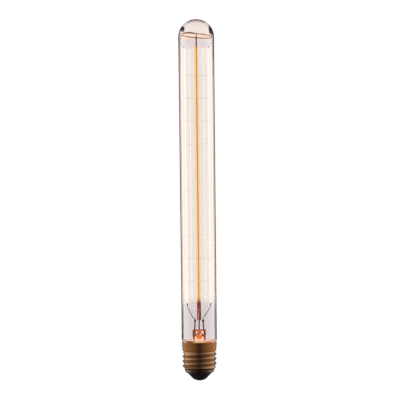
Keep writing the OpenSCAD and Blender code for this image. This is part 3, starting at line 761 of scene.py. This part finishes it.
def envelope():
    """Tube, dome and neck of even wall. The profile goes from the dome's top down outside, round
    the foot of the neck and up inside."""
    shoulder_z = RIM_Z + SHOULDER_GAP
    throat_r = BASE_R - NECK_R - SHOULDER_R
    throat_z = shoulder_z - SHOULDER_R - throat_r
    foot = GLASS_LOW[2]

    def skin(inset):
        """The outside, moved in by the inset."""
        return np.concatenate([
            arc(0, DOME_Z, DOME_R - inset, 90, 0, 40),
            line((DOME_R - inset, DOME_Z), (BASE_R - inset, shoulder_z), 40)[1:],
            arc(BASE_R - SHOULDER_R, shoulder_z, SHOULDER_R - inset, 0, -90, 12)[1:],
            arc(NECK_R + throat_r, throat_z, throat_r + inset, 90, 180, 8)[1:],
            line((NECK_R - inset, throat_z), (NECK_R - inset, foot + GLASS_T / 2), 6)[1:]])

    profile = np.concatenate([
        skin(0),
        arc(NECK_R - GLASS_T / 2, foot + GLASS_T / 2, GLASS_T / 2, 0, -180, 8)[1:-1],
        skin(GLASS_T)[::-1]])
    profile[[0, -1], 0] = 0
    mesh = mesh_of("envelope", [turned(profile)])
    piece("envelope", mesh, envelope_glass(), "glass", "glass_envelope")


def thread_fade(z, low, high):
    """Rises as half a cosine wave from 0 at low to 1 at high."""
    return (1 - np.cos(math.pi * np.clip((z - low) / (high - low), 0, 1))) / 2


def cap_shoulder(s, start, count):
    """Points [r, z] on the cap's shoulder, moved out by s: a quarter of an ellipse that starts at
    that angle from its lip and ends upright at the thread."""
    t = np.radians(np.linspace(start, 90, count))
    r = LIP_R + (CAP_SHOULDER_R - LIP_R + s) * np.sin(t)
    return np.stack([r, THREAD_Z - (CAP_SHOULDER_H + s) * np.cos(t)], axis=1)


def cap_sheet(columns=144):
    """Rolled sheet: its radius is the plain one, plus the knuckle thread's arcs of crests and roots
    on a right-hand helix, which fade out at both ends. The inner face runs a sheet's thickness in."""
    skirt_z = THREAD_Z + THREAD_LEN
    skirt_low, skirt_high = skirt_z - SKIRT_STEP, skirt_z + SKIRT_STEP
    crest_z = THREAD_Z + CREST_RISE
    first_z, last_z = THREAD_Z + PITCH / 2, skirt_z - PITCH / 2
    root_r = THREAD_R - 2 * (KNUCKLE_R - math.sqrt(KNUCKLE_R**2 - PITCH**2 / 16))
    a = np.arange(columns) * 360 / columns
    z = np.concatenate([
        np.linspace(THREAD_Z, skirt_high, 92)[1:], np.linspace(skirt_high, RIM_Z, 6)[1:]])[:, None]

    def knuckle(w, s):
        """Radius at w from a crest's middle: arcs out from the axis of radius KNUCKLE_R + s on the
        crests, and of KNUCKLE_R - s in the roots."""
        w = np.abs(w)
        crest = THREAD_R - KNUCKLE_R + np.sqrt(np.maximum((KNUCKLE_R + s) ** 2 - w**2, 0))
        away = PITCH / 2 - w
        root = root_r + KNUCKLE_R - np.sqrt(np.maximum((KNUCKLE_R - s) ** 2 - away**2, 0))
        return np.where(w <= (KNUCKLE_R + s) * PITCH / KNUCKLE_R / 4, crest, root)

    def face(s):
        """One face of the sheet, moved out by s."""
        turns = (z - crest_z) / PITCH - (a - 270) / 360
        w = (turns - np.round(turns)) * PITCH
        flare = np.clip((z - skirt_high) / (RIM_Z - skirt_high), 0, 1)
        plain = (CAP_SHOULDER_R
                 + (root_r - CAP_SHOULDER_R) * thread_fade(z, THREAD_Z, first_z)
                 + (SKIRT_R - root_r) * thread_fade(z, skirt_low, skirt_high)
                 + (CAP_HIGH[0] - SKIRT_R) * flare)
        thread = thread_fade(z, THREAD_Z, first_z) * (1 - thread_fade(z, last_z, skirt_z))
        shoulder = cap_shoulder(s, 0, 10)
        wall = plain + s + thread * (knuckle(w, s) - root_r - s)
        r = np.concatenate([shoulder[:, :1] + 0 * a, wall])
        heights = np.concatenate([shoulder[:, 1:], z]) + 0 * a
        return np.stack([r * np.cos(np.radians(a)), r * np.sin(np.radians(a)), heights], axis=-1)

    return np.concatenate([face(0)[::-1], face(-SHEET_T)])


def cap():
    """The sheet, closed at its rim and its lip."""
    mesh = mesh_of("cap", [cap_sheet()], closed_u=True)
    piece("cap", mesh, aged_brass(), "aged_brass", "cap_shell")


def insulator():
    """Turned from a profile with rounded edges: from the lead hole out under the plate, up the cone
    to the lip, inside the sheet's shoulder and back to the hole."""
    hole_r, rim_w, edge_r = 0.6 * MM, 0.9 * MM, 0.35 * MM
    lip_inset, lip_drop = 0.5 * MM, 0.8 * MM
    collar_w, collar_h = 1.5 * MM, 1.2 * MM
    gap = SHEET_T + SHEET_FIT
    lip_r, lip_z = LIP_R - SHEET_FIT, CAP_LOW[2]
    cone_z, top_z = INSULATOR_LOW[2], INSULATOR_HIGH[2]
    corners = np.array([
        (hole_r, 0, cone_z), (PLATE_HIGH[0] + rim_w, 0, cone_z),
        (lip_r - lip_inset, 0, lip_z - lip_drop), (lip_r, 0, lip_z), (lip_r, 0, lip_z + gap)])
    outer = rounded(corners, edge_r, 5)[:, [0, 2]]
    inside = cap_shoulder(-gap, 15, 8)
    collar_r, collar_z = inside[-1, 0], THREAD_Z + collar_h
    top = [
        (collar_r, collar_z), (collar_r - collar_w, collar_z), (SOLDER_R, top_z), (hole_r, top_z)]
    profile = np.concatenate([outer, inside, top])[::-1]
    mesh = mesh_of("insulator", [turned(profile, 128)], closed_u=True)
    piece("insulator", mesh, black_insulator(), "insulator", "cap_insulator")


def rod():
    """A drawn rod with a bore: straight up from its fire-polished foot, drawn in at the tip."""
    polish_r, chamfer = 0.5 * MM, 0.2 * MM
    top, foot = ROD_HIGH[2], ROD_LOW[2]
    taper_z = top - ROD_TAPER_H
    outer = np.concatenate([
        [(POST_BORE_R, top), (ROD_TIP_R - chamfer, top)],
        line((ROD_TIP_R, top - chamfer), (ROD_R, taper_z), 6),
        line((ROD_R, taper_z), (ROD_R, foot + polish_r), 60)[1:],
        arc(ROD_R - polish_r, foot + polish_r, polish_r, 0, -90, 6)[1:],
        [(POST_BORE_R, foot)]])
    bore = line((POST_BORE_R, foot), (POST_BORE_R, top), 60)[1:-1]
    mesh = mesh_of("rod", [turned(np.concatenate([outer, bore]), 64)], closed_u=True)
    piece("rod", mesh, rod_glass(), "rod_glass", "centre_rod")


def run_angle(i):
    """Runs 0 to 2 go up the left side and on to the back, runs 3 to 5 come round the right side."""
    steps = 2 - i if i < 3 else i - 3
    return 90 + (1 if i < 3 else -1) * (BACK_GAP / 2 + steps * RUN_STEP)


def filament():
    """A coiled wire on the zigzag route: runs go up and down in turn and join in rounded links."""
    clamped_z = CAGE_Z - CLAMP_H / 2 + CLAMP_FLOOR + FIT
    tips = []
    for i in range(RUNS):
        low = clamped_z if i in (0, RUNS - 1) else CAGE_Z
        ends = [polar(CAGE_R, run_angle(i), low), polar(CAGE_R, run_angle(i), CAGE_TOP)]
        tips += ends if i % 2 == 0 else ends[::-1]
    grid = coil(rounded(tips, TURN_R, 8), FILAMENT_D, COIL_WIRE_D, COIL_PITCH)
    mesh = mesh_of("filament_coil", [grid], 180)
    made = piece("filament_coil", mesh, hot_filament(), "filament", "filament")
    made.visible_diffuse = False


def support_level(k, finish):
    """Six arms that leave the rod, each turned round its run in an open loop: a circle about the
    run that starts and ends where the arm meets it, less the opening."""
    node = f"support_wires_{k:02d}"
    low, high = low_high(node)
    loop_r = FILAMENT_D / 2 + FILAMENT_FIT + LOOP_D / 2
    loop = arc(CAGE_R, 0, loop_r, LOOP_START, LOOP_OPENING - 180, 18)
    flat = np.concatenate([[(ROD_R - SOCKET_DEPTH, 0), (CAGE_R - loop_r - ARM_BEND, 0)], loop])
    grids = []
    for i in range(RUNS):
        turn = math.radians(run_angle(i))
        route = np.stack([
            flat[:, 0] * math.cos(turn) - flat[:, 1] * math.sin(turn),
            flat[:, 0] * math.sin(turn) + flat[:, 1] * math.cos(turn),
            np.full(len(flat), (low[2] + high[2]) / 2)], axis=1)
        grids.append(wire(route, ARM_D, (0, 0, 1), 8))
    piece(f"support_level_{k:02d}", mesh_of(node, grids), finish, "support_metal", node)


def anchors(name, first, up, finish):
    """Two hooks for each link: out of the rod, under or over the link, and turned up or down."""
    seat = ROD_TIP_R - TIP_SOCKET_DEPTH if up > 0 else ROD_R - SOCKET_DEPTH
    apart = math.degrees(math.asin((ANCHOR_D + ANCHOR_GAP) / 2 / seat))
    drop = FILAMENT_D / 2 + ANCHOR_D / 2 + FILAMENT_FIT
    z = CAGE_TOP - drop if up > 0 else CAGE_Z + drop
    grids = []
    for i in range(first, RUNS - 1, 2):
        half = math.radians(run_angle(i) - run_angle(i + 1)) / 2
        across, out = CAGE_R * math.sin(half) - ANCHOR_INSET, CAGE_R * math.cos(half)
        r = math.hypot(across, out)
        middle = run_angle(i) - math.degrees(half)
        turn = math.degrees(math.atan(across / out))
        far = r + drop + ANCHOR_REACH
        for side in (1, -1):
            a = middle + side * turn
            route = rounded([
                polar(seat, middle + side * max(turn, apart), z + ANCHOR_FALL),
                polar(r - ANCHOR_D, a, z),
                polar(far, a, z), polar(far, a, z + up * ANCHOR_TIP)], ANCHOR_D)
            grids.append(wire(route, ANCHOR_D, polar(1, a + 90, 0)))
    piece(f"{name}_wire", mesh_of(name, grids), finish, "support_metal", name)


def hoop():
    """The arm climbs from the top of the post, comes down to the left in a shallow bow and turns
    into a ring, which is tilted about the X axis and then about the Y axis."""
    ring = [polar(HOOP_R, HOOP_START + a, 0) for a in np.linspace(2 * HOOP_BEND, HOOP_SWEEP, 80)]
    foot, peak = polar(0, 0, -HOOP_D / 2), polar(0, 0, HOOP_PEAK)
    meets, leaves = polar(HOOP_R, HOOP_START, 0), polar(HOOP_R, HOOP_START + HOOP_BEND, 0)
    t = np.linspace(0, 1, 11)[1:-1, None]
    arm = peak + t * (meets - peak) + 4 * t * (1 - t) * [0, 0, HOOP_BOW]
    climb = rounded([foot, peak, arm[0]], HOOP_D)[:-1]
    bend = rounded([arm[-1], meets, leaves], HOOP_BEND_R)[1:-1]
    route = np.array([*climb, *arm, *bend, *ring])
    tilt = Matrix.Rotation(math.radians(-HOOP_LIFT), 3, "X")
    tilt = np.array(Matrix.Rotation(math.radians(HOOP_FALL), 3, "Y") @ tilt)
    route = route @ tilt.T + [0, 0, POST_HIGH[2] + HOOP_D / 2 + FIT]
    mesh = mesh_of("hoop", [wire(route, HOOP_D, polar(0.6, HOOP_START + 90, 0.8))])
    piece("hoop", mesh, hoop_metal(), "hoop_metal", "centring_hoop")


def post():
    """A straight pin from the press up through the rod."""
    route = line((0, 0, POST_LOW[2]), (0, 0, POST_HIGH[2]), 40)
    mesh = mesh_of("post", [wire(route, POST_D, (1, 0, 0), 24)])
    piece("post", mesh, post_metal(), "post_metal", "centre_post")


def lead_axis(side, h):
    """A point on the axis of a lead post, h above the press."""
    lean = LEAD_LEAN * (h + LEAD_SEAT) / (LEAD_RISE + LEAD_SEAT)
    return np.array([side * (LEAD_X - lean), 0, PRESS_Z + h])


def lead_post(word, side, finish):
    """A round wire on the post's leaning axis."""
    route = line(lead_axis(side, FIT - LEAD_SEAT), lead_axis(side, LEAD_RISE), 8)
    mesh = mesh_of("lead_post", [wire(route, LEAD_D, (0, 1, 0), 20)])
    piece(f"lead_post_{word}_wire", mesh, finish, "post_metal", f"lead_post_{word}")


def lead_bead(word, side, finish, sides=32):
    """A lump on the post's end: a thick wire whose rings are scaled by a base value, plus half a
    sine wave along it, plus a wave that goes three times round it and once along it."""
    low = lead_axis(side, LEAD_RISE - 0.65 * JOINT_H)
    high = lead_axis(side, LEAD_RISE + 0.35 * JOINT_H)
    grid = wire(line(low, high, 24), JOINT_D, (0, 1, 0), sides)
    middle = grid.mean(axis=1, keepdims=True)
    u = np.linspace(0, 1, len(grid))[:, None]
    a = np.arange(sides) * 2 * math.pi / sides
    wave = np.sin(3 * a + 5 * u) * np.sin(2 * math.pi * u)
    scale = 0.8 + 0.13 * np.sin(math.pi * u) + 0.05 * wave
    mesh = mesh_of("lead_bead", [middle + (grid - middle) * scale[..., None]])
    piece(f"lead_bead_{word}", mesh, finish, "post_metal", f"lead_joint_{word}")


def thin_lead(word, side, run, bends, finish):
    """A thin wire from the bead over its bends to the run's end, where a turned sleeve with a bore
    clamps the filament."""
    bead_depth, below_clamp, edge = 0.1 * MM, 1 * MM, 0.12 * MM
    top = lead_axis(side, LEAD_RISE + JOINT_H / 2)
    clamp = polar(CAGE_R, run_angle(run), CAGE_Z - CLAMP_H / 2)
    route = rounded([
        lead_axis(side, LEAD_RISE + bead_depth), top, *[top + bend for bend in bends],
        clamp - [0, 0, below_clamp], clamp + [0, 0, CLAMP_FLOOR / 2]], THIN_LEAD_D)
    bore_r, r = FILAMENT_D / 2 + FIT, CLAMP_D / 2
    sleeve = turned([
        (0, CLAMP_FLOOR), (bore_r, CLAMP_FLOOR), (bore_r, CLAMP_H), (r - edge, CLAMP_H),
        (r, CLAMP_H - edge), (r, edge), (r - edge, 0), (0, 0)], 24, clamp)
    mesh = mesh_of("lead_wire", [wire(route, THIN_LEAD_D, (0.6, -0.8 * side, 0)), sleeve])
    piece(f"lead_wire_{word}_thin", mesh, finish, "lead_metal", f"lead_wire_{word}")


def leads():
    """Each side has a post, the bead that joins it to its thin lead, and the lead with its clamp."""
    post_finish = wire_metal(
        "lead_post_metal", (0.2, 0.012, 0.015), (0.34, 0.045, 0.05), 0.5, metal=0.0)
    beads = {
        "left": wire_metal(
            "left_bead_metal", (0.14, 0.05, 0.045), (0.3, 0.13, 0.11), 0.5, grain=2.0, metal=0.0),
        "right": wire_metal(
            "right_bead_metal", (0.01, 0.007, 0.004), (0.04, 0.024, 0.015), 0.5, grain=2.0, metal=0.0)}
    thin = wire_metal("thin_lead_metal", (0.04, 0.02, 0.02), (0.12, 0.07, 0.06), 0.5)
    for word, side, run, bends in (("left", -1, 0, LEFT_BENDS), ("right", 1, RUNS - 1, [])):
        lead_post(word, side, post_finish)
        lead_bead(word, side, beads[word])
        thin_lead(word, side, run, bends, thin)


def blended(rows, steps=10):
    """Rows [z, a, b, p] between the given ones: z runs evenly, and the rest in half cosine waves."""
    rows = np.array(rows, float)
    t = np.linspace(0, len(rows) - 1, steps * (len(rows) - 1) + 1)
    i = np.minimum(t.astype(int), len(rows) - 2)
    even = (t - i)[:, None]
    wave = (1 - np.cos(math.pi * even)) / 2
    w = np.concatenate([even, wave, wave, wave], axis=1)
    return rows[i] * (1 - w) + rows[i + 1] * w


def press(finish):
    """Loft of superellipses |x/a|^p + |y/b|^p = 1: round at the stem tube, flat in the press, with
    the hollow under it as the inner skin."""
    stem_r, stem_t = 4.6 * MM, 0.8 * MM
    half_w, half_t, edge = PRESS_HIGH[0], 1.5 * MM, 0.6 * MM
    hollow_w, hollow_t = 4.1 * MM, 0.9 * MM
    flat_h, roof_t = 4.6 * MM, 1.4 * MM
    flat_z, foot = PRESS_Z - flat_h, PRESS_LOW[2]
    roof_z = flat_z - roof_t
    t = np.radians(np.linspace(0, 90, 7))[:, None]
    brim = np.concatenate([
        PRESS_Z - edge + edge * np.cos(t), half_w - edge + edge * np.sin(t),
        half_t - edge + edge * np.sin(t), 3.5 + 0 * t], axis=1)
    outer = blended([
        (PRESS_Z - edge, half_w, half_t, 3.5), (flat_z, half_w, half_t, 3.2), (foot, stem_r, stem_r, 2)])
    inner = blended([
        (foot, stem_r - stem_t, stem_r - stem_t, 2), (roof_z, hollow_w, hollow_t, 2.6)])
    rows = np.concatenate([[(PRESS_Z, 0, 0, 2)], brim, outer[1:], inner, [(roof_z, 0, 0, 2)]])
    z, a, b, p = (rows[:, k:k + 1] for k in range(4))
    turn = np.arange(96) * math.pi / 48
    c, s = np.cos(turn), np.sin(turn)
    x = a * np.sign(c) * np.abs(c) ** (2 / p)
    y = b * np.sign(s) * np.abs(s) ** (2 / p)
    mesh = mesh_of("press", [np.stack([x, y, z + 0 * turn], axis=-1)], 60)
    piece("press", mesh, finish, "stem_glass", "stem_press")


def plate():
    """A turned disc with rounded edges."""
    edge = 0.15 * MM
    r, low, high = PLATE_HIGH[0], PLATE_LOW[2], PLATE_HIGH[2]
    profile = np.concatenate([
        [(0, high)], arc(r - edge, high - edge, edge, 90, 0, 4),
        arc(r - edge, low + edge, edge, 0, -90, 4), [(0, low)]])
    mesh = mesh_of("plate", [turned(profile, 96)])
    piece("plate", mesh, contact_brass(), "contact_brass", "contact_plate")


def solder():
    """A shallow drop on the plate with a wavy edge: flat over the inner part of its radius, where it
    meets the lamp holder's spring, and from there up to the plate as a quarter of an ellipse."""
    flat = 0.55
    plate_z = PLATE_LOW[2]
    out = np.linspace(0, 1, 14)[:, None]
    a = np.arange(96) * math.pi / 48
    wavy = 1 - 0.04 * (1 + np.sin(2 * a + 1)) - 0.02 * (1 + np.sin(5 * a))
    r = SOLDER_R * out * wavy
    fall = np.sqrt(np.maximum(1 - ((out - flat) / (1 - flat)).clip(0, 1) ** 2, 0))
    under = np.stack([r * np.cos(a), r * np.sin(a), plate_z * (1 - fall) + 0 * a], axis=-1)
    over = np.stack([r * np.cos(a), r * np.sin(a), plate_z + 0 * r], axis=-1)
    mesh = mesh_of("solder", [np.concatenate([over, under[::-1]])], 60)
    piece("solder", mesh, solder_metal(), "solder", "contact_solder")


def studio():
    """White for the camera, and white through glass but for a ceiling and floor that fall off and
    the dark viewer's side, which shows only in light that bounced in the glass. Reflections see a
    plain soft studio: walls that are pale at the sides and behind the lamp, with a dark gap right
    behind it, and dark on the viewer's side but for a faint cool light straight ahead."""
    world = bpy.data.worlds.new("studio")
    bpy.context.scene.world = world
    f = Finish(world)
    seen, through, bounces = (f.node("ShaderNodeLightPath", out=name) for name in (
        "Is Camera Ray", "Is Transmission Ray", "Glossy Depth"))
    mirrored = 1 - seen - through
    way = f.node("ShaderNodeTexCoord", out=0)
    x, y, z = (f.axis(k, way) for k in range(3))

    ahead = y / (x * x + y * y) ** 0.5
    behind = 0.02 + 1.05 * (0.501 + 0.499 * ahead) ** 0.5
    level = 1 - 0.75 * f.ease(abs(z), 0.35, 0.9)
    gap = 0.85 * f.ease(ahead, 0.68, 0.92)
    cool = (1 - f.ease(ahead, -1.0, -0.86)) * mirrored
    walls = level * behind * (1 - gap) + 0.09 * cool

    falloff = 0.73 * f.ease(0 - z, 0.35, 0.9) + 0.2 * f.ease(z, 0.35, 0.9)
    viewer_side = (1 - f.ease(y, -0.7, 0.1)) * (1 - f.ease(0 - z, 0.12, 0.2))
    glass_view = (1.08 - falloff) * (1 - 0.96 * viewer_side * f.ease(bounces, 0.4, 0.6))

    background = f.node("ShaderNodeBackground", (), {
        "Color": f.mix(cool, (1, 1, 1), (0.62, 0.6, 1.0)),
        "Strength": seen + through * glass_view + mirrored * walls})
    f.node("ShaderNodeOutputWorld", (), {"Surface": background})


def floor():
    """A pale flat disc of rings below the lamp, white to the camera but for the lamp's shadow."""
    floor_r, floor_z = 0.9, -0.06
    r = np.linspace(0, floor_r, 24)[:, None]
    a = np.arange(96) * math.pi / 48
    mesh = mesh_of("floor", [np.stack([r * np.cos(a), r * np.sin(a), floor_z + 0 * r * a], axis=-1)])
    f = material("pale_floor")
    seen = f.node("ShaderNodeLightPath", out="Is Camera Ray")
    mesh.materials.append(f.surface(
        Base_Color=f.mix(f.noise(0.05, 3), (0.82, 0.82, 0.82), (0.86, 0.86, 0.86)), Roughness=0.7,
        Emission_Color=f.mix(seen, (0.35, 0.35, 0.35), (0.72, 0.72, 0.72)), Emission_Strength=1.0))
    made = bpy.data.objects.new("floor", mesh)
    bpy.context.scene.collection.objects.link(made)
    made.visible_glossy = False


def lamp(name, place, size, power):
    """A soft rectangular lamp that faces the middle of the bulb."""
    light = bpy.data.lights.new(name, "AREA")
    light.shape = "RECTANGLE"
    light.size, light.size_y = size
    light.energy = power
    made = bpy.data.objects.new(name, light)
    made.location = place
    back = unit(np.array(place) - [0, 0, GLASS_HIGH[2] / 2])
    right = unit(np.cross([0, 0, 1], back))
    axes = np.stack([right, np.cross(back, right), back], axis=1)
    made.rotation_euler = Matrix(axes.tolist()).to_euler()
    made.visible_glossy = False
    made.visible_transmission = False
    bpy.context.scene.collection.objects.link(made)


def camera():
    """Level camera whose picture is 310.2 mm wide at the lamp's axis, rolled by the photo's lean."""
    distance = 1.5
    width = 310.2 * MM
    lean = math.radians(0.6)
    middle = (1.67 * MM, 139.8 * MM)
    data = bpy.data.cameras.new("camera")
    data.angle = 2 * math.atan(width / 2 / distance)
    made = bpy.data.objects.new("camera", data)
    c, s = math.cos(lean), math.sin(lean)
    made.matrix_world = Matrix((
        (c, s, 0, middle[0]), (0, 0, -1, -distance), (-s, c, 0, middle[1]), (0, 0, 0, 1)))
    bpy.context.scene.collection.objects.link(made)
    bpy.context.scene.camera = made


camera()
studio()
floor()
lamp("left_softbox", (-1.0, -0.9, 0.7), (0.6, 0.9), 9)
lamp("right_softbox", (1.1, -0.6, 0.5), (0.6, 0.9), 6)

envelope()
cap()
insulator()
plate()
solder()
rod()
filament()
# Support wires with a painted glow of the filament's light.
support_finish = wire_metal(
    "support_metal", (0.2, 0.14, 0.11), (0.4, 0.3, 0.25), 0.4, (0.66, 0.58, 0.53))
for k in range(1, LEVELS + 1):
    support_level(k, support_finish)
anchors("top_anchors", 0, 1, top_anchor_metal())
# Bottom anchors painted pale, with a painted glow of the filament's light.
anchors("bottom_anchors", 1, -1, wire_metal(
    "bright_anchor_metal", (0.6, 0.5, 0.47), (0.75, 0.66, 0.63), 0.5, (0.55, 0.48, 0.46), metal=0.0))
hoop()
post()
leads()
stem_finish = stem_glass()
press(stem_finish)
dress(stem_finish, "stem_flare", "exhaust_tube")
dress(wire_metal("seal_copper", (0.35, 0.1, 0.05), (0.6, 0.25, 0.12), 0.35),
      "seal_wire_left", "seal_wire_right")
dress(wire_metal("outer_lead", (0.25, 0.14, 0.07), (0.5, 0.32, 0.18), 0.35),
      "outer_lead_side", "outer_lead_centre", "contact_lead", "fuse_wire")
dress(cement_finish(), "basing_cement")
dress(solder_metal(), "side_solder")

scene = bpy.context.scene
scene.view_settings.view_transform = "Standard"
scene.cycles.max_bounces = 32
scene.cycles.transmission_bounces = 28
scene.cycles.glossy_bounces = 8
